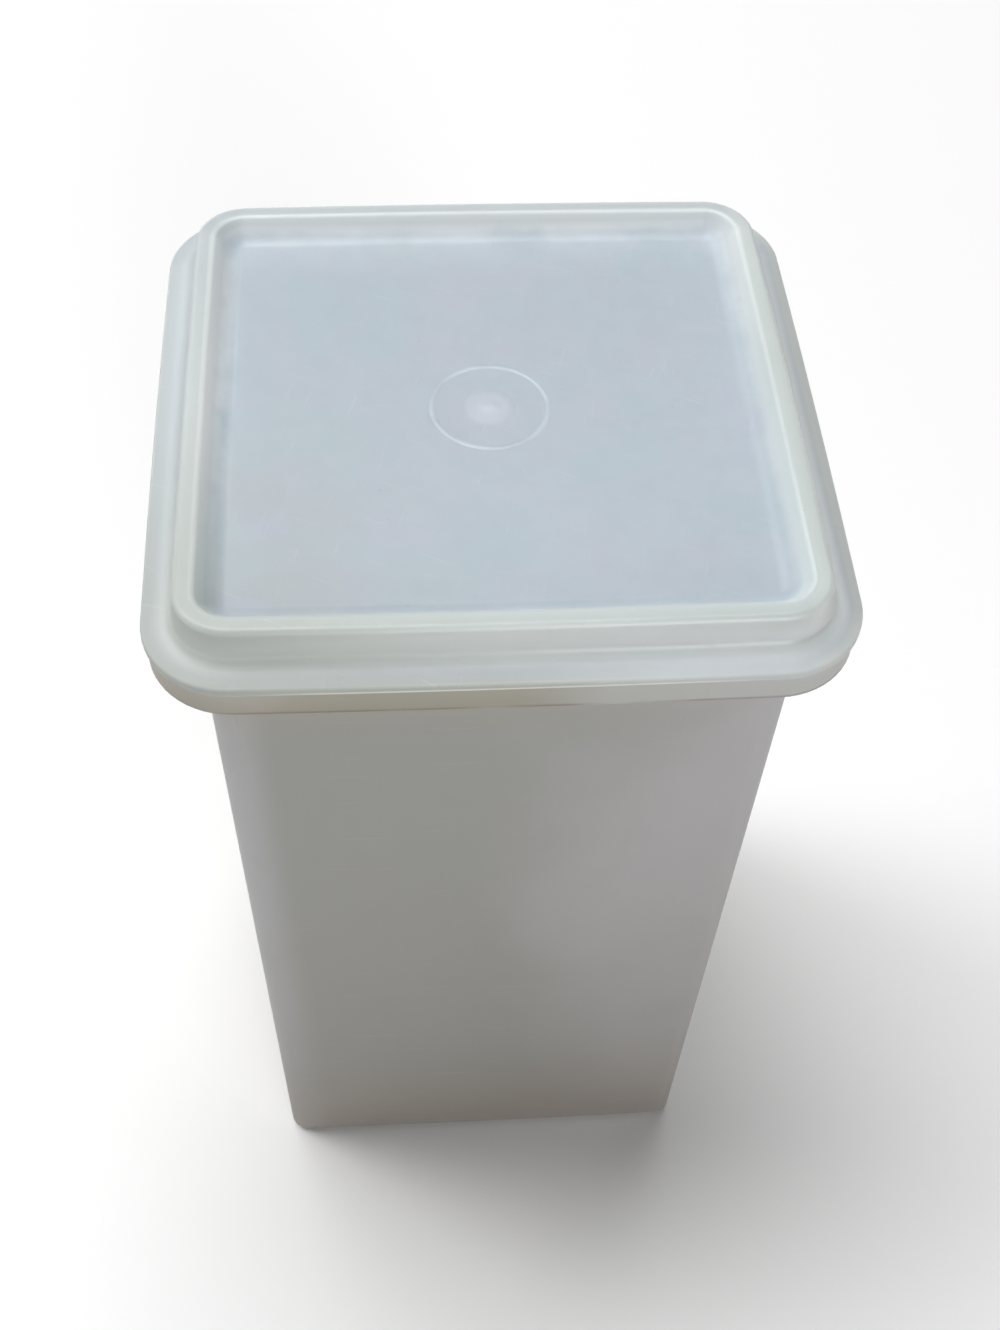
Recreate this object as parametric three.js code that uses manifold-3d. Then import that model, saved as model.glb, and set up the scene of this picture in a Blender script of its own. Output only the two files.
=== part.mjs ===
// Cracker canister: a tall, tapered, square container with a turned-down collar round its mouth, and a
// press-on lid whose hollow ridge takes the container's rim.
// Millimetres, +Z up, origin at the centre of the base. Widths run across the flats, at mid side.

import * as THREE from 'three';
import { mergeVertices } from 'three/addons/utils/BufferGeometryUtils.js';
import Module from 'manifold-3d';

const wasm = await Module();
wasm.setup();

// Container: overall form
const RIM_HEIGHT = 240.0; // base to the top of the rim
const TOP_WIDTH = 120.9; // across the walls, level with the collar's lower edge
const BASE_WIDTH = 112.6; // across the walls at the base
const TOP_CORNER = 7.45; // radius of the upright corners at the collar
const BASE_CORNER = 4.5; // and at the base
const BOW_RADIUS = 4000; // every side swells outwards along this wide arc

// Container: walls and base
const WALL = 2.0;
const FLOOR = 2.4;
const FLOOR_ROUND = 3.0; // inside, where the walls meet the floor
const FOOT_WIDTH = 4.5; // flat ring that the canister stands on
const FOOT_HEIGHT = 1.0; // how far the middle of the base is lifted clear
const FOOT_ROUND = 2.0; // outer edge of the base
const GATE_WELL_RADIUS = 6.0; // shallow dish under the base, where the plastic was fed in
const GATE_WELL_DEPTH = 0.4;

// Container: rim, ledge and collar
const RIM = 1.7; // thickness at the top of the rim
const RIM_SET_OUT = 0.48; // from the wall's outer face to the rim's inner face
const RIM_RISE = 7.8; // rim above the ledge
const RIM_LEAN = 0.1325; // draft of the rim's outer face, outwards per millimetre of drop
const RIM_ROUND = 0.6;
const MOUTH_RISE = 1.3; // where the mouth has opened out to the rim's inner face, above the ledge
const MOUTH_FLARE = 3.5; // height in which it opens out
const MOUTH_ROUND = 2.0;
const LEDGE = 1.7; // thickness of the ledge under the lid's flange
const LEDGE_FALL = 0.2; // the ledge falls outwards, per millimetre
const LEDGE_ROUND = 1.0;
const COLLAR_REACH = 9.85; // collar's outer face from the wall's outer face
const COLLAR_DEPTH = 6.5; // height of the skirt that hangs from the ledge
const COLLAR_ROUND = 0.4;
const SKIRT = 1.7; // thickness of that skirt where it leaves the ledge
const SKIRT_DRAFT = 0.2; // how much thinner it is at its lower edge

// Lid
const SEAT_GAP = 0.3; // between the lid and the rim and ledge that it covers
const LID_WALL = 1.2; // thickness of the panel and of the ridge's walls
const LID_FLANGE = 1.7; // thickness of the flange round the ridge
const LID_OVERHANG = 0.7; // flange beyond the collar
const FLANGE_ROUND = 0.6; // upper edge of the flange
const FLANGE_UNDER_ROUND = 0.25; // and its lower edge
const RIDGE_ROUND = 1.3; // along both top edges of the ridge
const RIDGE_FOOT_ROUND = 3.0; // where its outer wall runs out into the flange
const PANEL_DEPTH = 4.3; // panel below the top of the ridge
const PANEL_LEAN = 0.84; // slant of the ridge's inner wall, outwards per millimetre of rise
const PANEL_ROUND = 5.0; // where that wall runs out into the panel
const RING_RADIUS = 12.4; // fine raised ring in the middle of the panel
const RING_WIDTH = 1.1;
const RING_HEIGHT = 0.3;
const GATE_PAD_RADIUS = 5.2; // thicker spot inside the ring
const GATE_PAD_HEIGHT = 0.25;
const MARK_DRAFT = 0.25; // slope at the edges of the ring, pad and well

// Steps along the curves
const SIDE_STEPS = 2;
const CORNER_STEPS = 8;
const ROUND_STEPS = 3;
const MARK_STEPS = 48;

// Least radius of an inset outline's corners, such as the foot ring's inner edge
const LEAST_CORNER = 2.5;

// Vertices nearer than this are one
const SAME_POINT = 1e-4;

// Places that both pieces share
const topHalf = TOP_WIDTH / 2;
const baseHalf = BASE_WIDTH / 2;
const rimInner = topHalf + RIM_SET_OUT;
const rimOuter = rimInner + RIM;
const rimFoot = rimOuter + RIM_LEAN * RIM_RISE;
const ledgeHeight = RIM_HEIGHT - RIM_RISE;
const collarHalf = topHalf + COLLAR_REACH;
const ledgeTop = (half) => ledgeHeight - LEDGE_FALL * (half - rimFoot);
const skirtBottom = ledgeTop(collarHalf) - COLLAR_DEPTH;

// Half width of the wall's outer face, and of the square on which its corner arcs are centred
const upTheWall = (height) => height / skirtBottom;
const wallHalf = (height) => THREE.MathUtils.lerp(baseHalf, topHalf, upTheWall(height));
const topCentre = topHalf - TOP_CORNER;
const wallCentre = (height) =>
  THREE.MathUtils.lerp(baseHalf - BASE_CORNER, topCentre, Math.min(upTheWall(height), 1));

const point = (half, height, round = 0) => ({ at: new THREE.Vector2(half, height), round });

// A square outline: each quarter is one bowed side and one corner arc, tangent to each other
function outline(half, corner) {
  const sideCentre = half - BOW_RADIUS;
  const reach = Math.sqrt(2 * (BOW_RADIUS - corner) ** 2 - sideCentre ** 2);
  const centre = (reach + sideCentre) / 2;
  const turn = Math.atan2(centre, centre - sideCentre);
  const side = new THREE.ArcCurve(sideCentre, 0, BOW_RADIUS, -turn, turn);
  const bend = new THREE.ArcCurve(centre, centre, corner, turn, Math.PI / 2 - turn);
  const quarter = [
    ...side.getPoints(SIDE_STEPS).slice(0, -1),
    ...bend.getPoints(CORNER_STEPS).slice(0, -1),
  ];
  const origin = new THREE.Vector2();
  return [0, 1, 2, 3].flatMap((quadrant) =>
    quarter.map((p) => p.clone().rotateAround(origin, (quadrant * Math.PI) / 2)),
  );
}

// An arc that rounds one corner of a profile, no longer than its two edges leave room for
function roundCorner(before, corner, after) {
  const back = before.at.clone().sub(corner.at);
  const ahead = after.at.clone().sub(corner.at);
  const halfAngle = back.angleTo(ahead) / 2;
  const room = Math.min(back.length(), ahead.length()) / 2;
  const radius = Math.min(corner.round, room * Math.tan(halfAngle));
  const tangent = radius / Math.tan(halfAngle);
  const start = corner.at.clone().addScaledVector(back.normalize(), tangent);
  const end = corner.at.clone().addScaledVector(ahead.normalize(), tangent);
  const middle = back.clone().add(ahead).setLength(radius / Math.sin(halfAngle)).add(corner.at);
  const clockwise = back.cross(ahead) > 0;
  const from = start.sub(middle).angle();
  const to = end.sub(middle).angle();
  return new THREE.ArcCurve(middle.x, middle.y, radius, from, to, clockwise).getPoints(ROUND_STEPS);
}

function roundedProfile(corners) {
  return corners.flatMap((corner, i) =>
    corner.round > 0 ? roundCorner(corners[i - 1], corner, corners[i + 1]) : [corner.at],
  );
}

// A closed skin over outlines that follow a profile, which starts and ends on the axis
function loft(corners, cornerCentre) {
  const profile = roundedProfile(corners);
  const rings = profile.slice(1, -1).map((p) => {
    const corner = Math.max(p.x - cornerCentre(p.y), LEAST_CORNER);
    return outline(p.x, corner).map((q) => [q.x, q.y, p.y]);
  });
  const count = rings[0].length;
  const index = [];
  const vertex = (ring, i) => 1 + ring * count + (i % count);
  const end = 1 + rings.length * count;
  for (let i = 0; i < count; i++) {
    index.push(0, vertex(0, i + 1), vertex(0, i));
    for (let ring = 0; ring + 1 < rings.length; ring++) {
      index.push(vertex(ring, i), vertex(ring, i + 1), vertex(ring + 1, i + 1));
      index.push(vertex(ring, i), vertex(ring + 1, i + 1), vertex(ring + 1, i));
    }
    index.push(end, vertex(rings.length - 1, i), vertex(rings.length - 1, i + 1));
  }
  const positions = [[0, 0, profile[0].y], ...rings.flat(), [0, 0, profile.at(-1).y]];
  const geometry = new THREE.BufferGeometry();
  geometry.setAttribute('position', new THREE.Float32BufferAttribute(positions.flat(), 3));
  geometry.setIndex(index);
  return geometry;
}

// A round mark on the axis: a revolved profile of [radius, height] points
function revolve(points) {
  const profile = points.map(([radius, height]) => new THREE.Vector2(radius, height));
  return new THREE.LatheGeometry(profile, MARK_STEPS).rotateX(Math.PI / 2);
}

// Solids for joining and cutting, and back again
function solid(geometry) {
  const bare = geometry.clone();
  bare.deleteAttribute('normal');
  bare.deleteAttribute('uv');
  const merged = mergeVertices(bare, SAME_POINT);
  const index = merged.index.array;
  const triangles = [];
  for (let i = 0; i < index.length; i += 3) {
    const [a, b, c] = index.slice(i, i + 3);
    if (a !== b && b !== c && c !== a) triangles.push(a, b, c);
  }
  const vertProperties = Float32Array.from(merged.attributes.position.array);
  const triVerts = Uint32Array.from(triangles);
  return new wasm.Manifold(new wasm.Mesh({ numProp: 3, vertProperties, triVerts }));
}

function named(name, shape, look) {
  const mesh = shape.getMesh();
  const geometry = new THREE.BufferGeometry();
  geometry.setAttribute('position', new THREE.Float32BufferAttribute(mesh.vertProperties, 3));
  geometry.setIndex(Array.from(mesh.triVerts));
  geometry.computeVertexNormals();
  const piece = new THREE.Mesh(geometry, new THREE.MeshStandardMaterial(look));
  piece.name = name;
  return piece;
}

// Container: from the middle of the base, up the outside, over the rim and down to the floor
function container() {
  const footInner = baseHalf - FOOT_ROUND - FOOT_WIDTH;
  const floorTop = FOOT_HEIGHT + FLOOR;
  const skirtInner = collarHalf - SKIRT;
  const underLedge = ledgeTop(topHalf) - LEDGE;
  const flareTop = ledgeHeight + MOUTH_RISE;
  const flareFoot = flareTop - MOUTH_FLARE;
  const body = loft(
    [
      point(0, FOOT_HEIGHT),
      point(footInner - FOOT_HEIGHT, FOOT_HEIGHT),
      point(footInner, 0),
      point(baseHalf, 0, FOOT_ROUND),
      point(wallHalf(underLedge), underLedge, LEDGE_ROUND),
      point(skirtInner, ledgeTop(skirtInner) - LEDGE, LEDGE_ROUND),
      point(skirtInner + SKIRT_DRAFT, skirtBottom, COLLAR_ROUND),
      point(collarHalf, skirtBottom, COLLAR_ROUND),
      point(collarHalf, ledgeTop(collarHalf), COLLAR_ROUND),
      point(rimFoot, ledgeHeight, RIM_ROUND),
      point(rimOuter, RIM_HEIGHT, RIM_ROUND),
      point(rimInner, RIM_HEIGHT, RIM_ROUND),
      point(rimInner, flareTop, MOUTH_ROUND),
      point(wallHalf(flareFoot) - WALL, flareFoot, MOUTH_ROUND),
      point(wallHalf(floorTop) - WALL, floorTop, FLOOR_ROUND),
      point(0, floorTop),
    ],
    wallCentre,
  );
  const wellTop = FOOT_HEIGHT + GATE_WELL_DEPTH;
  const gateWell = revolve([
    [0, 0],
    [GATE_WELL_RADIUS, 0],
    [GATE_WELL_RADIUS, FOOT_HEIGHT],
    [GATE_WELL_RADIUS - MARK_DRAFT, wellTop],
    [0, wellTop],
  ]);
  return solid(body).subtract(solid(gateWell));
}

// Where a steep line, leaning out by lean per millimetre of drop, meets a shallow one that falls outwards
function meeting(steep, lean, shallow, fall) {
  const drop = (steep.y - shallow.y + fall * (steep.x - shallow.x)) / (1 - lean * fall);
  return steep.clone().add(new THREE.Vector2(lean * drop, -drop));
}

// Lid: from the middle of its underside, through the channel that takes the rim, out to the flange's
// edge, and back over the ridge to the middle of the panel
function lid() {
  const channelTop = RIM_HEIGHT + SEAT_GAP;
  const channelInner = rimInner - SEAT_GAP;
  const channelOuter = rimOuter + SEAT_GAP;
  const channelFoot = point(rimFoot + SEAT_GAP, ledgeHeight + SEAT_GAP, RIM_ROUND);
  const lidHalf = collarHalf + LID_OVERHANG;
  const edgeUnder = channelFoot.at.y - LEDGE_FALL * (lidHalf - channelFoot.at.x);

  const outerSkin = LID_WALL * Math.hypot(1, RIM_LEAN);
  const innerSkin = LID_WALL * Math.hypot(1, PANEL_LEAN);
  const ridgeTop = channelTop + LID_WALL;
  const ridgeOuter = channelOuter + outerSkin - RIM_LEAN * LID_WALL;
  const ridgeInner = channelInner - innerSkin + PANEL_LEAN * LID_WALL;
  const flangeEdge = point(lidHalf, edgeUnder + LID_FLANGE, FLANGE_ROUND);
  const ridgeEdge = point(ridgeOuter, ridgeTop, RIDGE_ROUND);
  const ridgeFoot = meeting(ridgeEdge.at, RIM_LEAN, flangeEdge.at, LEDGE_FALL);

  const panelTop = ridgeTop - PANEL_DEPTH;
  const panelUnder = panelTop - LID_WALL;
  const panelEdge = ridgeInner - PANEL_LEAN * PANEL_DEPTH;
  const panelUnderEdge = channelInner - PANEL_LEAN * (channelTop - panelUnder);

  const cover = loft(
    [
      point(0, panelUnder),
      point(panelUnderEdge, panelUnder, PANEL_ROUND + LID_WALL),
      point(channelInner, channelTop, RIM_ROUND - SEAT_GAP),
      point(channelOuter, channelTop, RIM_ROUND - SEAT_GAP),
      channelFoot,
      point(lidHalf, edgeUnder, FLANGE_UNDER_ROUND),
      flangeEdge,
      point(ridgeFoot.x, ridgeFoot.y, RIDGE_FOOT_ROUND),
      ridgeEdge,
      point(ridgeInner, ridgeTop, RIDGE_ROUND),
      point(panelEdge, panelTop, PANEL_ROUND),
      point(0, panelTop),
    ],
    () => topCentre,
  );
  const rooted = panelTop - LID_WALL / 2;
  const ringInner = RING_RADIUS - RING_WIDTH / 2;
  const ringOuter = RING_RADIUS + RING_WIDTH / 2;
  const ring = revolve([
    [ringInner, rooted],
    [ringOuter, rooted],
    [ringOuter, panelTop],
    [ringOuter - MARK_DRAFT, panelTop + RING_HEIGHT],
    [ringInner + MARK_DRAFT, panelTop + RING_HEIGHT],
    [ringInner, panelTop],
    [ringInner, rooted],
  ]);
  const gatePad = revolve([
    [0, rooted],
    [GATE_PAD_RADIUS, rooted],
    [GATE_PAD_RADIUS, panelTop],
    [GATE_PAD_RADIUS - MARK_DRAFT, panelTop + GATE_PAD_HEIGHT],
    [0, panelTop + GATE_PAD_HEIGHT],
  ]);
  return solid(cover).add(solid(ring)).add(solid(gatePad));
}

const canister = new THREE.Group();
canister.add(
  named('container', container(), { color: 0xd3d0c8, roughness: 0.5, metalness: 0 }),
  named('lid', lid(), { color: 0xd2dadd, roughness: 0.4, metalness: 0 }),
);

export default canister;
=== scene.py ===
# %% [markdown]
# # A square cracker canister
#
# The real thing is two mouldings: a tall, tapered, off-white container, and a milky lid whose hollow ridge
# presses over the container's rim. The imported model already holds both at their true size, so this lesson
# keeps its frame and makes a finer skin for each piece, then gives both the look of old polyethylene.

import math

import bmesh
import bpy
from mathutils import Matrix, Vector


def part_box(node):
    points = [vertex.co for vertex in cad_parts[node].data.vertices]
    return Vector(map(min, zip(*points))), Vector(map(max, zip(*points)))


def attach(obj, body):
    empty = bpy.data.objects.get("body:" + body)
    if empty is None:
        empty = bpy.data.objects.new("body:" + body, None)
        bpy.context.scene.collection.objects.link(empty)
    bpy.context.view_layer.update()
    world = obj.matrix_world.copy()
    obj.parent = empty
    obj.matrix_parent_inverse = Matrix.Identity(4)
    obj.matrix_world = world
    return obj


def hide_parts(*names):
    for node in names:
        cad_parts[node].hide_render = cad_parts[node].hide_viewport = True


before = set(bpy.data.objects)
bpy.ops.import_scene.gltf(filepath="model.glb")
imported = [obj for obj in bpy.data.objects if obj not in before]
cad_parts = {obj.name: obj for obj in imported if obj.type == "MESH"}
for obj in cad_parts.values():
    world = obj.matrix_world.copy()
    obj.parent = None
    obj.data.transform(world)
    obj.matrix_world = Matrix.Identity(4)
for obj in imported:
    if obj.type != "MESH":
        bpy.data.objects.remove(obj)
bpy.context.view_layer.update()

# %% [markdown]
# ## The camera
#
# The picture was taken from above the front edge, a little to the left, with the camera slightly rolled. A
# lens can be matched by eye, but here the edges of the lid and the base gave its place and length, so the
# three turns are written one after another: heading, tilt, then roll about the view itself.

# %% Place the camera
MM = 0.001
IMAGE_HEIGHT = 1330
FOCAL_PIXELS = 1756.5
SENSOR = 36.0
CAMERA_PLACE = Vector((-22.0, -272.7, 495.1)) * MM
HEADING = math.radians(-5.575)
LOOK_DOWN = 51.66
TILT = math.radians(90 - LOOK_DOWN)
ROLL = math.radians(2.636)

lens = bpy.data.cameras.new("camera")
lens.sensor_width = SENSOR
lens.lens = FOCAL_PIXELS / IMAGE_HEIGHT * SENSOR
lens.clip_start = 0.01
camera = bpy.data.objects.new("camera", lens)
camera.matrix_world = (
    Matrix.Translation(CAMERA_PLACE)
    @ Matrix.Rotation(HEADING, 4, "Z")
    @ Matrix.Rotation(TILT, 4, "X")
    @ Matrix.Rotation(ROLL, 4, "Z")
)
scene = bpy.context.scene
scene.collection.objects.link(camera)
scene.camera = camera
print("lens", round(lens.lens, 2), "mm")

# %% [markdown]
# ## A section with rounded corners
#
# A moulding is easiest to draw as its section, from the middle of a side outwards. Each corner of the
# section has its own radius. Modelling every arc by hand would hide the sizes, so the wire is drawn with
# sharp corners and each corner is bevelled as a vertex. A bevel is set by how far it runs back along the
# two edges, so the radius is turned into that length first.

# %% Draw a section
ROUND_STEPS = 6
WIDE_ROUND = 2.5


def run_back(before, corner, after):
    """How far a corner's arc reaches back along each of its two edges."""
    back = Vector(before[:2]) - Vector(corner[:2])
    ahead = Vector(after[:2]) - Vector(corner[:2])
    return corner[2] / math.tan(back.angle(ahead) / 2)


def draw_section(bm, corners):
    """A wire through (half width, height, radius) corners in millimetres, on the middle of the +X side."""
    verts = [bm.verts.new((half * MM, 0, height * MM)) for half, height, _ in corners]
    for pair in zip(verts, verts[1:]):
        bm.edges.new(pair)
    for i in range(1, len(corners) - 1):
        if corners[i][2]:
            length = run_back(*corners[i - 1:i + 2])
            steps = ROUND_STEPS if corners[i][2] < WIDE_ROUND else 2 * ROUND_STEPS
            bmesh.ops.bevel(bm, geom=[verts[i]], offset=length * MM, offset_type="OFFSET", segments=steps,
                            profile=0.5, affect="VERTICES", material=-1)
    wire = [edge for edge in bm.edges if edge.is_wire]
    return wire + list(dict.fromkeys(vert for edge in wire for vert in edge.verts))


print("a round takes", ROUND_STEPS, "steps, a wide one", 2 * ROUND_STEPS)

# %% [markdown]
# ## Round a square
#
# Seen from above, every outline of the canister is a square with round corners whose sides swell very
# slightly, which keeps a moulded wall from looking hollow. Such a side is an arc of some four metres'
# radius, so a section can be carried round the whole outline by spins alone: half a side, a corner, half a
# side, four times. The corner's centre lies on the line from the side's centre, so the arcs run into each
# other without a crease.

# %% Carry a section round
BOW = 4000.0
SIDE_STEPS = 6
CORNER_STEPS = 14
OUTLINE_STEPS = 4 * (2 * SIDE_STEPS + CORNER_STEPS)
TOUCH = 0.02 * MM
UP = Vector((0, 0, 1))


def carry_round(bm, geom, half, corner):
    """Spins a section round a square of that half width and corner radius, and closes it on itself."""
    side = half - BOW
    middle = (side + math.sqrt(2 * (BOW - corner) ** 2 - side ** 2)) / 2
    turn = math.atan2(middle, middle - side)
    for quarter in range(4):
        here = Matrix.Rotation(quarter * math.pi / 2, 3, "Z")
        after = Matrix.Rotation((quarter + 1) * math.pi / 2, 3, "Z")
        arcs = (
            (here @ Vector((side, 0, 0)), turn, SIDE_STEPS),
            (here @ Vector((middle, middle, 0)), math.pi / 2 - 2 * turn, CORNER_STEPS),
            (after @ Vector((side, 0, 0)), turn, SIDE_STEPS),
        )
        for centre, angle, steps in arcs:
            spun = bmesh.ops.spin(bm, geom=geom, cent=centre * MM, axis=UP, angle=angle, steps=steps)
            geom = spun["geom_last"]
    bmesh.ops.remove_doubles(bm, verts=bm.verts, dist=TOUCH)


print("every outline has", OUTLINE_STEPS, "points")

# %% [markdown]
# ## Close the skins
#
# A section that has been carried round leaves an open loop at each of its two ends. The loops lie level, so
# a height is enough to find one. Two loops are joined by a bridge, and a last loop is filled with a single
# face, which stays exactly flat.

# %% Find and close loops


def open_edges(bm, height):
    """The edges at a height that still lack a face."""
    level = height * MM
    return [
        edge for edge in bm.edges
        if len(edge.link_faces) < 2 and all(abs(vert.co.z - level) < TOUCH for vert in edge.verts)
    ]


def bridge(bm, lower, upper):
    """Joins the open loops at two heights, or two loops at one height."""
    edges = dict.fromkeys(open_edges(bm, lower) + open_edges(bm, upper))
    bmesh.ops.bridge_loops(bm, edges=list(edges))


def close_loop(bm, height):
    """Fills the one open loop at a height."""
    bmesh.ops.edgeloop_fill(bm, edges=open_edges(bm, height))


print("loops are level to", TOUCH / MM, "mm")

# %% [markdown]
# ## The lid
#
# The lid is one thin skin: a panel sunk inside a ridge, the ridge hollow underneath so that it grips the
# rim, and a flange that falls outwards to a blunt edge. The section runs from the panel over the ridge to
# the flange, then back underneath through the channel. It stops short of the middle, because a spin about
# the corner needs every point to lie outside that centre.

# %% Lid: ridge, flange and channel
RIDGE_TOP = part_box("lid")[1].z / MM
LID_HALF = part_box("lid")[1].x / MM
TOP_HALF = 60.45
TOP_CORNER = 7.45
LID_SKIN = 1.2
PANEL_DEPTH = 4.3
PANEL = RIDGE_TOP - PANEL_DEPTH
PANEL_UNDER = PANEL - LID_SKIN
CHANNEL_TOP = RIDGE_TOP - LID_SKIN
PANEL_END = 53.4
PANEL_FOOT = 56.46
PANEL_ROUND = 5.0
RIDGE_INNER = 60.07
RIDGE_OUTER = 63.98
RIDGE_ROUND = 1.3
RIDGE_FOOT = 64.98
RIDGE_FOOT_HEIGHT = 234.0
RIDGE_FOOT_ROUND = 3.0
EDGE_TOP = 232.79
EDGE_TOP_ROUND = 0.6
EDGE_UNDER = 231.09
EDGE_UNDER_ROUND = 0.25
SEAT = 63.96
SEAT_HEIGHT = 232.5
SEAT_ROUND = 0.6
CHANNEL_OUTER = 62.93
CHANNEL_INNER = 60.63
CHANNEL_ROUND = 0.3
UNDER_FOOT = 57.02
UNDER_ROUND = 6.0

lid_bm = bmesh.new()
lid_section = draw_section(lid_bm, [
    (PANEL_END, PANEL, 0),
    (PANEL_FOOT, PANEL, PANEL_ROUND),
    (RIDGE_INNER, RIDGE_TOP, RIDGE_ROUND),
    (RIDGE_OUTER, RIDGE_TOP, RIDGE_ROUND),
    (RIDGE_FOOT, RIDGE_FOOT_HEIGHT, RIDGE_FOOT_ROUND),
    (LID_HALF, EDGE_TOP, EDGE_TOP_ROUND),
    (LID_HALF, EDGE_UNDER, EDGE_UNDER_ROUND),
    (SEAT, SEAT_HEIGHT, SEAT_ROUND),
    (CHANNEL_OUTER, CHANNEL_TOP, CHANNEL_ROUND),
    (CHANNEL_INNER, CHANNEL_TOP, CHANNEL_ROUND),
    (UNDER_FOOT, PANEL_UNDER, UNDER_ROUND),
    (PANEL_END, PANEL_UNDER, 0),
])
carry_round(lid_bm, lid_section, TOP_HALF, TOP_CORNER)
print("lid section", len(lid_section), "parts, skin", len(lid_bm.faces), "faces")

# %% [markdown]
# ## The middle of the panel
#
# A fine raised ring and a thicker round spot with a small nub mark where the plastic was fed in. All are
# turned shapes, so their wire gets a full spin about the axis, with as many steps as the square outline has
# points. The two loops can then be bridged point to point, and the panel stays one closed skin. Each
# profile is a row of steps out from its radius and up from the panel.

# %% Lid: ring, spot and nub
RING = 12.4
RING_PROFILE = ((0.75, 0), (0.45, 0.09), (0.15, 0.15), (-0.15, 0.15), (-0.45, 0.09), (-0.75, 0))
GATE_SPOT = 5.2
SPOT_PROFILE = ((0.60, 0), (-0.20, 0.08), (-1.00, 0.18), (-2.20, 0.25))
GATE_NUB = 0.9
NUB_HEIGHT = 0.34
NUB_PROFILE = ((0.15, 0.25), (-0.10, 0.32), (-0.40, NUB_HEIGHT))


def turn_round(bm, points):
    """Spins (radius, height) points in millimetres once about the upright axis."""
    verts = [bm.verts.new((radius * MM, 0, height * MM)) for radius, height in points]
    edges = [bm.edges.new(pair) for pair in zip(verts, verts[1:])]
    bmesh.ops.spin(bm, geom=verts + edges, cent=(0, 0, 0), axis=UP, angle=2 * math.pi, steps=OUTLINE_STEPS,
                   use_merge=True)
    bmesh.ops.remove_doubles(bm, verts=bm.verts, dist=TOUCH)


marks = ((RING, RING_PROFILE), (GATE_SPOT, SPOT_PROFILE), (GATE_NUB, NUB_PROFILE))
turn_round(lid_bm, [(radius + run, PANEL + rise) for radius, profile in marks for run, rise in profile])
bridge(lid_bm, PANEL, PANEL)
close_loop(lid_bm, PANEL + NUB_HEIGHT)
close_loop(lid_bm, PANEL_UNDER)
bmesh.ops.recalc_face_normals(lid_bm, faces=lid_bm.faces)
print("lid closed", all(edge.is_manifold for edge in lid_bm.edges), len(lid_bm.faces), "faces")

# %% [markdown]
# ## The container's crown
#
# Round the mouth the wall turns out into a ledge, hangs down as a collar, and rises again as the rim that
# the lid grips. All of it shares the lid's corner centre, so it is one section carried round once. The
# section starts and ends on the straight walls, where the base will join it.

# %% Container: ledge, collar, rim and mouth
RIM_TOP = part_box("container")[1].z / MM
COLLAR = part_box("container")[1].x / MM
BASE_HALF = 56.3
BASE_CORNER = 4.5
WALL = 2.0
OUTER_JOIN = 215.0
INNER_JOIN = 222.0
LEDGE_UNDER = 231.14
LEDGE_END = 68.60
LEDGE_END_HEIGHT = 229.51
LEDGE_ROUND = 1.0
COLLAR_INNER = 68.80
COLLAR_FOOT = 224.37
COLLAR_TOP = 230.87
COLLAR_ROUND = 0.4
RIM_FOOT = 63.66
RIM_FOOT_HEIGHT = 232.2
RIM_OUTER = 62.63
RIM_INNER = 60.93
RIM_ROUND = 0.6
MOUTH = 233.5
THROAT = 230.0
MOUTH_ROUND = 2.0


def wall_half(height):
    """Half the outer width of the tapered walls at a height."""
    return BASE_HALF + (TOP_HALF - BASE_HALF) * height / COLLAR_FOOT


body_bm = bmesh.new()
crown_section = draw_section(body_bm, [
    (wall_half(OUTER_JOIN), OUTER_JOIN, 0),
    (wall_half(LEDGE_UNDER), LEDGE_UNDER, LEDGE_ROUND),
    (LEDGE_END, LEDGE_END_HEIGHT, LEDGE_ROUND),
    (COLLAR_INNER, COLLAR_FOOT, COLLAR_ROUND),
    (COLLAR, COLLAR_FOOT, COLLAR_ROUND),
    (COLLAR, COLLAR_TOP, COLLAR_ROUND),
    (RIM_FOOT, RIM_FOOT_HEIGHT, RIM_ROUND),
    (RIM_OUTER, RIM_TOP, RIM_ROUND),
    (RIM_INNER, RIM_TOP, RIM_ROUND),
    (RIM_INNER, MOUTH, MOUTH_ROUND),
    (wall_half(THROAT) - WALL, THROAT, MOUTH_ROUND),
    (wall_half(INNER_JOIN) - WALL, INNER_JOIN, 0),
])
carry_round(body_bm, crown_section, TOP_HALF, TOP_CORNER)
print("crown", len(body_bm.faces), "faces")

# %% [markdown]
# ## The base and the walls
#
# The base has tighter corners than the mouth, so its sections go round a smaller outline. The long walls
# between are straight from one outline to the other, and a bridge between the two loops is exactly that
# surface. Under the base a flat ring carries the weight, the middle is lifted clear, and a shallow dish
# marks the feed point.

# %% Container: foot, floor and walls
FOOT_JOIN = 8.0
FOOT_ROUND = 2.0
FOOT_SEAM = 53.5
FOOT_INNER = 49.8
FLOOR = 3.4
FLOOR_JOIN = 12.0
FLOOR_ROUND = 2.2
FLOOR_SEAM = 52.0
LIFT = 1.0
UNDER_CORNER = 2.5
WELL = 6.0
WELL_SLOPE = 0.25
WELL_DEPTH = 0.4
WELL_TOP = LIFT + WELL_DEPTH

foot_section = draw_section(body_bm, [
    (wall_half(FOOT_JOIN), FOOT_JOIN, 0),
    (BASE_HALF, 0, FOOT_ROUND),
    (FOOT_SEAM, 0, 0),
])
carry_round(body_bm, foot_section, BASE_HALF, BASE_CORNER)
floor_section = draw_section(body_bm, [
    (wall_half(FLOOR_JOIN) - WALL, FLOOR_JOIN, 0),
    (wall_half(FLOOR) - WALL, FLOOR, FLOOR_ROUND),
    (FLOOR_SEAM, FLOOR, 0),
])
carry_round(body_bm, floor_section, BASE_HALF, BASE_CORNER)
bridge(body_bm, OUTER_JOIN, FOOT_JOIN)
bridge(body_bm, INNER_JOIN, FLOOR_JOIN)
close_loop(body_bm, FLOOR)

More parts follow.
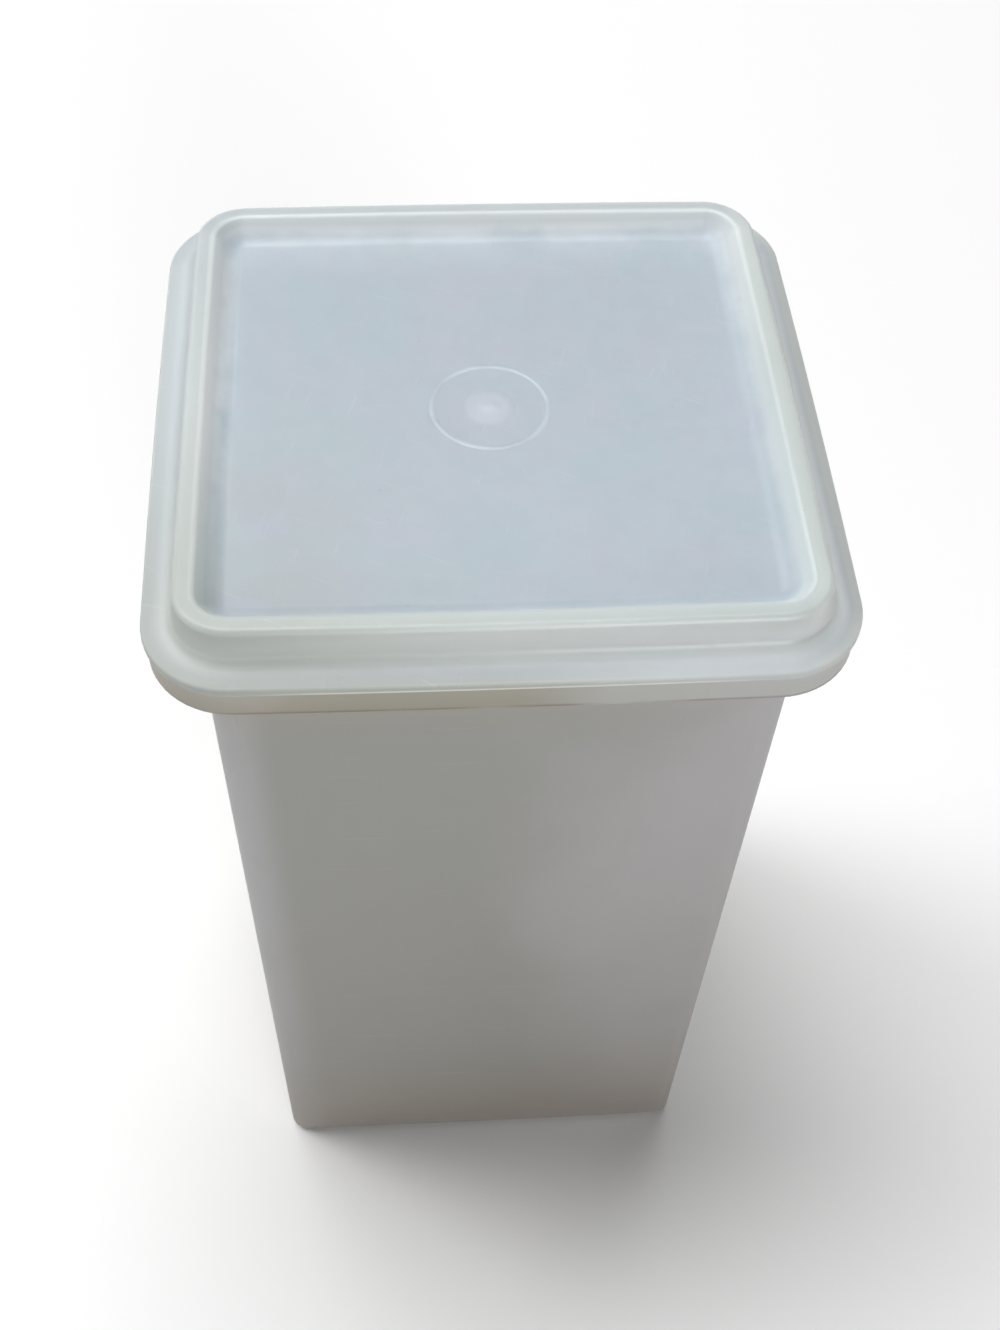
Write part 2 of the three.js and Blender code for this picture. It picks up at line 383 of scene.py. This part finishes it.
under_section = draw_section(body_bm, [(FOOT_INNER, 0, 0), (FOOT_INNER - LIFT, LIFT, 0)])
carry_round(body_bm, under_section, FOOT_INNER, UNDER_CORNER)
bridge(body_bm, 0, 0)
turn_round(body_bm, [(WELL, LIFT), (WELL - WELL_SLOPE, WELL_TOP)])
bridge(body_bm, LIFT, LIFT)
close_loop(body_bm, WELL_TOP)
bmesh.ops.recalc_face_normals(body_bm, faces=body_bm.faces)
print("container closed", all(edge.is_manifold for edge in body_bm.edges), len(body_bm.faces), "faces")

# %% [markdown]
# ## Shader maths as Python
#
# A material is a graph of nodes, but its arithmetic reads better as expressions. One small class holds a
# socket: plus, minus and times add the Math nodes, and one method adds any other node.

# %% Wrap a socket


class Shade:
    """One output of a shader node, in the tree that it belongs to."""

    def __init__(self, tree, socket=None):
        self.tree = tree
        self.socket = socket

    def node(self, kind, settings=None, sockets=None, give=0):
        made = self.tree.nodes.new(kind)
        for name, value in (settings or {}).items():
            if name == "stops":
                ramp = made.color_ramp.elements
                while len(ramp) < len(value):
                    ramp.new(1.0)
                for element, (place, colour) in zip(ramp, value):
                    element.position = place
                    element.color = colour
            else:
                setattr(made, name, value)
        for name, value in (sockets or {}).items():
            if isinstance(value, Shade):
                self.tree.links.new(value.socket, made.inputs[name])
            else:
                made.inputs[name].default_value = value
        return Shade(self.tree, made.outputs[give] if made.outputs else None)

    def maths(self, operation, first, second=0.0):
        return self.node("ShaderNodeMath", {"operation": operation}, {0: first, 1: second})

    def __add__(self, other):
        return self.maths("ADD", self, other)

    def __sub__(self, other):
        return self.maths("SUBTRACT", self, other)

    def __rsub__(self, other):
        return self.maths("SUBTRACT", other, self)

    def __mul__(self, other):
        return self.maths("MULTIPLY", self, other)

    __radd__ = __add__
    __rmul__ = __mul__


print("shader maths: plus, minus and times")

# %% [markdown]
# ## Masks and tones
#
# A finish is one colour laid over another through a mask, again and again. Masks are soft steps along a
# distance or through cloudy noise. A painted image would have to be unwrapped on each piece, while these
# only need the place of a point on its own object, in metres.

# %% Helpers for masks and tones


def tint(red, green, blue):
    """A colour as a screen shows it, 0 to 255, in the linear light that shaders use."""
    linear = [((c / 255 + 0.055) / 1.055) ** 2.4 if c > 10 else c / 255 / 12.92 for c in (red, green, blue)]
    return (*linear, 1.0)


def step(value, low, high):
    """0 below low, 1 above high, smooth between; the other way round if low is above high."""
    return value.node("ShaderNodeMapRange", {"interpolation_type": "SMOOTHSTEP"},
                      {"Value": value, "From Min": low, "From Max": high})


def step_mm(value, low, high):
    """The same for a place, between two limits in millimetres."""
    return step(value, low * MM, high * MM)


def mix(factor, plain, changed):
    """One colour over another."""
    return factor.node("ShaderNodeMix", {"data_type": "RGBA"}, {0: factor, 6: plain, 7: changed}, give=2)


def layer(colour, rows):
    """Lays (mask, strength, colour) rows over a colour, one after another."""
    for mask, strength, changed in rows:
        colour = mix(mask * strength, colour, changed)
    return colour


def noise(place, size, detail=2.0, stretch=(1, 1, 1), turn=(0, 0, 0), shift=(0, 0, 0)):
    """Cloudy noise whose features are about size millimetres, longer along an axis with a larger stretch."""
    scale = [1 / (size * MM * longer) for longer in stretch]
    turned = place.node("ShaderNodeMapping", {}, {"Vector": place, "Rotation": turn, "Location": shift})
    scaled = place.node("ShaderNodeVectorMath", {"operation": "MULTIPLY"}, {0: turned, 1: scale})
    return place.node("ShaderNodeTexNoise", {}, {"Vector": scaled, "Scale": 1.0, "Detail": detail})


print("mid grey is", round(tint(128, 128, 128)[0], 3), "in linear light")

# %% [markdown]
# ## A surface
#
# Every material here ends in one Principled surface. What varies goes to its colour, roughness and normal.
# What is the same all over is set on its own sockets. The bump is far finer than any shape of the
# mouldings, so it only breaks up the highlights.

# %% Helpers for a surface
BUMP_STRENGTH = 0.25
BUMP_DEPTH = 0.05
POLYETHYLENE_IOR = 1.51


def new_material(name):
    """An empty material, and its Object coordinates."""
    material = bpy.data.materials.new(name)
    material.use_nodes = True
    material.node_tree.nodes.clear()
    start = Shade(material.node_tree)
    place = start.node("ShaderNodeTexCoord", give="Object")
    return material, place


def fine_bump(place, relief):
    """A normal that follows a fine relief."""
    sockets = {"Strength": BUMP_STRENGTH, "Distance": BUMP_DEPTH * MM, "Height": relief}
    return place.node("ShaderNodeBump", {}, sockets)


def finish_material(place, sockets):
    """Ends a material in a Principled surface with these sockets."""
    surface = place.node("ShaderNodeBsdfPrincipled", {}, sockets)
    place.node("ShaderNodeOutputMaterial", {}, {"Surface": surface})


print("bump is", BUMP_DEPTH, "mm deep at most")

# %% [markdown]
# ## Where a point lies on the section
#
# Both finishes change from the middle of the piece outwards, the same way on all four sides. The distance
# outside the square of corner centres does that: it is straight along the sides and round at the corners,
# as the outlines are, so a band in the colour follows the ridge and the flange exactly.

# %% Measure outwards
CORNER_CENTRE = 52.65


def outward(place):
    """Metres outside the square on which the corner arcs are centred."""
    size = place.node("ShaderNodeVectorMath", {"operation": "ABSOLUTE"}, {0: place})
    square = (CORNER_CENTRE * MM, CORNER_CENTRE * MM, 1.0)
    past = place.node("ShaderNodeVectorMath", {"operation": "SUBTRACT"}, {0: size, 1: square})
    kept = place.node("ShaderNodeVectorMath", {"operation": "MAXIMUM"}, {0: past, 1: (0, 0, 0)})
    return place.node("ShaderNodeVectorMath", {"operation": "LENGTH"}, {0: kept}, give="Value")


def from_axis(place):
    """Metres from the upright axis."""
    level = place.node("ShaderNodeVectorMath", {"operation": "MULTIPLY"}, {0: place, 1: (1, 1, 0)})
    return place.node("ShaderNodeVectorMath", {"operation": "LENGTH"}, {0: level}, give="Value")


def along(place, axis):
    """Metres along one axis."""
    return place.node("ShaderNodeSeparateXYZ", {}, {0: place}, give=axis)


print("bands are measured from", CORNER_CENTRE, "mm outwards")

# %% [markdown]
# ## Milky lid plastic
#
# Thin natural polyethylene is milky: over the dark inside it looks bluish, and near the rim it looks warmer
# and paler, because light runs through the ridge's walls and comes out on the lee side. Full light
# transport through a thin skin is slow and noisy, so colour ramps along the section paint that light into
# the
# colour as bands: panel, inner wall, ridge, outer wall, flange and edge. The two ramps are lit and shaded
# copies, so they hold painted light and shade: one is for the bright side, with a paler inner wall, and one
# for the lee side, with a paler outer wall and a darker flange, and the lid slides from one to the other. A
# row gives the distance outwards in millimetres, then the bright and the lee colour.

# %% Lid bands
LID_REACH = 18.4
# Lit and shaded copies of the bands: painted light and shade.
LID_BANDS = (
    # Panel and inner wall
    (0.8, tint(180, 190, 199), tint(183, 193, 203)),
    (3.5, tint(212, 221, 228), tint(186, 198, 207)),
    (5.5, tint(242, 249, 251), tint(208, 218, 221)),
    (7.0, tint(248, 254, 252), tint(201, 211, 209)),
    # Top of the ridge
    (8.3, tint(201, 209, 208), tint(195, 204, 202)),
    (10.4, tint(204, 212, 211), tint(188, 197, 195)),
    # Outer wall
    (11.2, tint(193, 200, 203), tint(218, 225, 222)),
    (11.6, tint(193, 200, 203), tint(236, 243, 240)),
    (12.1, tint(193, 200, 203), tint(236, 243, 240)),
    (12.4, tint(194, 202, 205), tint(222, 229, 226)),
    # Flange and edge
    (13.3, tint(196, 204, 207), tint(223, 229, 228)),
    (14.2, tint(199, 207, 210), tint(204, 210, 211)),
    (14.8, tint(198, 206, 209), tint(194, 200, 201)),
    (15.8, tint(192, 200, 203), tint(177, 184, 186)),
    (17.6, tint(188, 195, 197), tint(167, 173, 172)),
    (18.1, tint(194, 199, 196), tint(181, 186, 181)),
)

milky_plastic, place = new_material("milky_plastic")
out = outward(place)
aside = along(place, "X")
ahead = along(place, "Y")
up = along(place, "Z")
across = out * (1 / (LID_REACH * MM))
bright_bands = [(reach / LID_REACH, bright) for reach, bright, _ in LID_BANDS]
lee_bands = [(reach / LID_REACH, lee) for reach, _, lee in LID_BANDS]
bright_side = place.node("ShaderNodeValToRGB", {"stops": bright_bands}, {"Fac": across})
lee_side = place.node("ShaderNodeValToRGB", {"stops": lee_bands}, {"Fac": across})
# Painted light and shade: the colour slides from the bright-side ramp to the lee-side ramp.
to_lee = step_mm(aside * 0.6 - ahead * 0.9, -45, 45)
milk = mix(to_lee, bright_side, lee_side)
print("lid bands", len(LID_BANDS), "over", LID_REACH, "mm")

# %% [markdown]
# ## The lid's sides and corners
#
# Soft masks paint more light and shade over the two ramps, side by side. Painted shade darkens the front
# left corner, the left ridge, the rear fillet and inner wall, the right inner wall at the back and the front
# right crease. Painted light brightens the front right, the right ridge and its shoulder, the right edge of
# the flange, the right inner wall at the front and the rear of the panel, and lays a thin pale line along
# the blunt edge of the flange. Separate ramps for each side would repeat most of their bands, so these are
# masks.

# %% Lid tones, side by side
panel = step_mm(out, 6.5, 3.0)
flange = step_mm(out, 12.0, 14.0)
front_edge = step_mm(ahead, -52, -62)
# Painted shade on the front left corner.
front_left_shade = step_mm(aside, 10, -60) * step_mm(ahead, 20, -60)
# Painted light on the front right.
front_right_light = step_mm(aside, -5, 35) * front_edge * step_mm(out, 10.4, 12)
rear = step_mm(ahead, 52, 56)
# Painted shade on the rear fillet and the rear inner wall.
rear_foot_shade = rear * step_mm(out, 5.0, 3.0)
rear_wall_shade = rear * step_mm(out, 4.8, 6.2)
# Painted light on the rear of the panel.
rear_panel_light = step_mm(ahead, 40, 54) * panel
right = step_mm(aside, 57, 60)
# Painted light on the right ridge, its shoulder and the right edge of the flange.
right_top_light = right * step_mm(out, 7.6, 8.4) * step_mm(out, 13.0, 12.0)
right_shoulder_light = right * step_mm(out, 10.8, 11.3) * step_mm(out, 12.6, 12.0)
right_edge_light = right * step_mm(out, 15.4, 16.8)
right_wall = step_mm(aside, 52, 55) * step_mm(out, 4.0, 5.5) * step_mm(out, 7.8, 7.2)
# Painted shade on the right inner wall at the back, painted light at the front.
right_wall_rear_shade = right_wall * step_mm(ahead, 15, 45)
right_wall_front_light = right_wall * step_mm(ahead, 20, -20)
# Painted shade in the front right crease at the ridge foot.
crease = step_mm(out, 11.9, 12.1) * step_mm(out, 12.6, 12.35)
front_crease_shade = crease * step_mm(aside, 10, 60) * step_mm(ahead, -55, -62)
# Painted shade on the left ridge.
left_rear = step_mm(aside, -52, -58) * step_mm(ahead, -10, 40)
left_ridge_shade = left_rear * step_mm(out, 2.5, 4.5) * step_mm(out, 11.5, 11.0)
# Painted light: a thin pale line along the blunt edge of the flange.
blunt_edge_light = step_mm(out, 18.0, 18.25) * step_mm(up, 231.95, 231.55)
# Painted light and shade laid over the two ramps.
milk = layer(milk, (
    (front_left_shade, 0.36, tint(166, 168, 158)),
    (front_right_light, 0.28, tint(226, 230, 236)),
    (rear_foot_shade, 0.8, tint(184, 194, 203)),
    (rear_wall_shade, 0.45, tint(184, 192, 197)),
    (right_top_light, 0.15, tint(236, 243, 239)),
    (right_shoulder_light, 0.6, tint(252, 255, 253)),
    (right_edge_light, 0.45, tint(200, 203, 199)),
    (right_wall_rear_shade, 0.35, tint(198, 208, 210)),
    (right_wall_front_light, 0.35, tint(225, 236, 240)),
    (front_crease_shade, 0.8, tint(208, 215, 215)),
    (left_ridge_shade, 0.3, tint(178, 188, 194)),
    (rear_panel_light, 0.3, tint(204, 213, 220)),
    (blunt_edge_light, 0.85, tint(230, 232, 222)),
))
print("lid tones laid,", len(milky_plastic.node_tree.nodes), "nodes so far")

# %% [markdown]
# ## Blotches, scuffs and specks
#
# The panel is faintly blotched where the plastic cooled unevenly, the ring and the feed spot are paler, and
# years of use have left fine scuffs and a few specks. Blotches, scuffs and specks are noise in millimetres,
# so they keep their size on any piece. The scuffs also feed the bump and make the surface a little rougher.

# %% Lid finish
away = from_axis(place)
blush = step(noise(place, 15, 3), 0.48, 0.68)
cool = step(noise(place, 22, 3, shift=(0.31, 0.12, 0)), 0.46, 0.66)
mottle = step(noise(place, 5, 3, shift=(0.4, 0.2, 0)), 0.4, 0.65)
on_ring = step_mm(away.maths("ABSOLUTE", away - RING * MM), 0.9, 0.3)
faded = step(noise(place, 9, 2, shift=(0.6, 0.1, 0)), 0.36, 0.58)
gate = step_mm(away, 7.0, 1.5)
scuffs = step(noise(place, 0.9, 2, stretch=(16, 1, 4), turn=(0, 0, 0.5)), 0.66, 0.74)
scuffs_across = step(noise(place, 1.1, 2, stretch=(1, 12, 4), turn=(0, 0, 0.3)), 0.67, 0.75)
worn = scuffs.maths("MAXIMUM", scuffs, scuffs_across)
specks = step(noise(place, 1.3, 1, shift=(0.2, 0.7, 0)), 0.79, 0.83)
milk = layer(milk, (
    (blush * panel, 0.5, tint(183, 188, 202)),
    (cool * panel, 0.5, tint(174, 192, 197)),
    (mottle * panel, 0.12, tint(166, 176, 187)),
    (on_ring * faded, 0.7, tint(194, 206, 211)),
    (gate, 0.7, tint(199, 204, 213)),
    (worn, 0.1, tint(224, 229, 231)),
    (specks, 0.35, tint(150, 152, 150)),
))

grain = noise(place, 0.7, 2)
finish_material(place, {
    "Base Color": milk,
    "Roughness": 0.36 + panel * 0.04 + flange * 0.14 + blush * 0.05 + worn * 0.1,
    "Normal": fine_bump(place, grain * 0.5 + worn * 0.5),
    "IOR": POLYETHYLENE_IOR,
    "Subsurface Weight": 1.0,
    "Subsurface Radius": (1.0, 1.0, 1.0),
    "Subsurface Scale": 2.5 * MM,
})
print("lid finish", len(milky_plastic.node_tree.nodes), "nodes")

# %% [markdown]
# ## Old container plastic
#
# The container is the same kind of plastic filled with white, so it hides what is inside. It has yellowed a
# little round the collar and picked up fine level scuffs from being slid about. Painted shade darkens the
# wall towards the base, and the colour also turns darker and warmer near the foot and darker towards the
# collar's lower edge. Painted light makes the right side, the right of the collar and the left corners
# paler.

# %% Container finish
TAPER = (TOP_HALF - BASE_HALF) / COLLAR_FOOT

ivory_plastic, place = new_material("ivory_plastic")
aside = along(place, "X")
up = along(place, "Z")
clouds = noise(place, 75, 2, shift=(0.13, 0, 0.2))
stains = noise(place, 24, 4, shift=(0.2, 0.4, 0.1))
level_scuffs = step(noise(place, 0.8, 3, stretch=(26, 26, 1)), 0.62, 0.74)
upright_scuffs = step(noise(place, 0.8, 3, stretch=(1, 1, 30), shift=(0.5, 0, 0)), 0.66, 0.78)

# Painted light: the right side is paler, along a cloudy line.
right_side_light = step_mm(aside + (clouds - 0.5) * 0.1, -5, 40)
size = place.node("ShaderNodeVectorMath", {"operation": "ABSOLUTE"}, {0: place})
diagonal = along(size, "X") + along(size, "Y") - up * (2 * TAPER)
# Painted light on the left corners, fading towards the bottom.
corner_height = 0.4 + step_mm(up, 20, 190) * 0.6
left_corner_light = step_mm(diagonal, 99, 110) * step_mm(aside, 0, -30) * corner_height
# Painted shade: darker towards the bottom.
lower_wall_shade = step_mm(up, 230, -20)
yellowed = step_mm(up, 196, 229) * (0.45 + clouds) * (1.0 - right_side_light * 0.8)
# Darker and warmer towards the foot.
darker_warm_foot = step_mm(up, 60, 4)
rubbed = step_mm(up, 9, 2)
collar = step_mm(outward(place), 16.0, 16.6)
# Painted light on the right of the collar.
collar_right_light = collar * step_mm(aside, 0, 22)
# Darker towards the collar's lower edge, less so on the right.
collar_darkening = collar * step_mm(up, 230.5, 224.5) * (1.0 - right_side_light * 0.7)
lower_edge = collar * step_mm(up, 225.6, 224.8) * step(stains, 0.3, 0.55)

# The painted light of the right side mixes the two base tones.
shell = mix(right_side_light, tint(161, 161, 157), tint(182, 180, 181))
shell = layer(shell, (
    (lower_wall_shade, 0.6, tint(143, 139, 132)),
    (left_corner_light, 0.65, tint(200, 200, 204)),
    (yellowed, 0.6, tint(176, 170, 150)),
    (darker_warm_foot, 0.5, tint(155, 144, 133)),
    (rubbed, 0.35, tint(165, 161, 155)),
    (step(stains, 0.52, 0.72), 0.2, tint(156, 152, 147)),
    (collar_darkening, 0.25, tint(138, 125, 105)),
    (collar_right_light, 0.75, tint(193, 194, 191)),
    (lower_edge, 0.7, tint(124, 112, 93)),
    (level_scuffs, 0.22, tint(184, 183, 179)),
    (upright_scuffs, 0.14, tint(148, 145, 140)),
))

grain = noise(place, 0.8, 2)
finish_material(place, {
    "Base Color": shell,
    "Roughness": 0.42 + clouds * 0.12 + level_scuffs * 0.1,
    "Normal": fine_bump(place, grain * 0.5 + level_scuffs * 0.4),
    "IOR": POLYETHYLENE_IOR,
    "Subsurface Weight": 0.15,
    "Subsurface Radius": (1.0, 0.9, 0.8),
    "Subsurface Scale": 1.0 * MM,
})
print("container finish", len(ivory_plastic.node_tree.nodes), "nodes")

# %% [markdown]
# ## From mesh to piece
#
# Each skin becomes an object that rides on its body, and the imported node is hidden. Smooth shading alone
# would smear the rounds' light over the wide flats, so a Weighted Normal modifier lets the large faces keep
# their own direction.

# %% Make both pieces


def make_piece(bm, name, body, material):
    mesh = bpy.data.meshes.new(name)
    bm.to_mesh(mesh)
    bm.free()
    mesh.shade_smooth()
    mesh.materials.append(material)
    piece = bpy.data.objects.new(name, mesh)
    scene.collection.objects.link(piece)
    even = piece.modifiers.new("even_normals", "WEIGHTED_NORMAL")
    even.mode = "FACE_AREA"
    even.weight = 100
    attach(piece, body)
    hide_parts(body)
    print(name, "rides on", body, "with", len(mesh.polygons), "faces")


make_piece(body_bm, "container_shell", "container", ivory_plastic)
make_piece(lid_bm, "lid_cover", "lid", milky_plastic)

# %% [markdown]
# ## The sheet and the backdrop
#
# The canister stands on a plain white sheet, a hair below its foot so that the two faces don't flicker. A
# sheet that bright would throw much of its light back at the walls. The Light Path node tells rays that
# show the sheet from rays that carry its light on: the first see white, the second a duller paper. The
# backdrop is a plain pale grey that only the first kind see, so it gives no light.

# %% Sheet and backdrop
SHEET_HALF = 4.0
SHEET_GAP = 0.3
BOUNCE = 0.7
WHITE = (1, 1, 1, 1)
PALE_GREY = (0.8, 0.8, 0.8, 1)


def shown(start):
    """1 for rays that show a surface, straight, mirrored or through glass; 0 for light that it passes on."""
    rays = ("Is Camera Ray", "Is Glossy Ray", "Is Transmission Ray")
    straight, mirrored, through = (start.node("ShaderNodeLightPath", give=ray) for ray in rays)
    return start.maths("MAXIMUM", start.maths("MAXIMUM", straight, mirrored), through)


floor_bm = bmesh.new()
bmesh.ops.create_grid(floor_bm, x_segments=1, y_segments=1, size=SHEET_HALF)
floor_mesh = bpy.data.meshes.new("floor")
floor_bm.to_mesh(floor_mesh)
floor_bm.free()
floor_mesh.transform(Matrix.Translation((0, 0, -SHEET_GAP * MM)))
floor = bpy.data.objects.new("floor", floor_mesh)
scene.collection.objects.link(floor)

paper, place = new_material("paper")
white = mix(shown(place), (BOUNCE, BOUNCE, BOUNCE, 1), WHITE)
finish_material(place, {"Base Color": white, "Roughness": 0.9, "Specular IOR Level": 0.0})
floor_mesh.materials.append(paper)

world = bpy.data.worlds.new("world")
scene.world = world
world.use_nodes = True
world.node_tree.nodes.clear()
sky = Shade(world.node_tree)
backdrop = sky.node("ShaderNodeBackground", {}, {"Color": PALE_GREY, "Strength": shown(sky)})
sky.node("ShaderNodeOutputWorld", {}, {"Surface": backdrop})
print("sheet", 2 * SHEET_HALF, "m wide, backdrop only shown")

# %% [markdown]
# ## The lamps
#
# A broad lamp behind the left shoulder and a broader one above leave the front wall in soft shade and lay
# the shadow to the right and forwards. A smaller lamp far in front lifts that wall, and a weak one close by
# draws out the collar. Disks give the round, soft highlights of a studio, and none of them shows in the
# picture.

# %% Lamps
LAMP_AIM = Vector((0, 0, 0.12))
LAMPS = (
    ("key", (-2.66, 0.96, 2.83), 1.92, 55.9),
    ("top", (-0.4, 1.15, 3.78), 2.88, 119.7),
    ("front", (0.8, -3.78, 1.12), 1.28, 46.5),
    ("front_near", (0.16, -0.4, 0.3), 0.2, 0.21),
)


def add_lamp(name, spot, width, power):
    """A disk of that width in metres and power in watts, turned towards the canister."""
    light = bpy.data.lights.new(name, "AREA")
    light.shape = "DISK"
    light.size = width
    light.energy = power
    lamp = bpy.data.objects.new(name, light)
    aim = LAMP_AIM - Vector(spot)
    lamp.matrix_world = Matrix.Translation(spot) @ aim.to_track_quat("-Z", "Y").to_matrix().to_4x4()
    lamp.visible_camera = False
    scene.collection.objects.link(lamp)


for row in LAMPS:
    add_lamp(*row)
scene.view_settings.view_transform = "Standard"
print("lamps", [name for name, *_ in LAMPS])
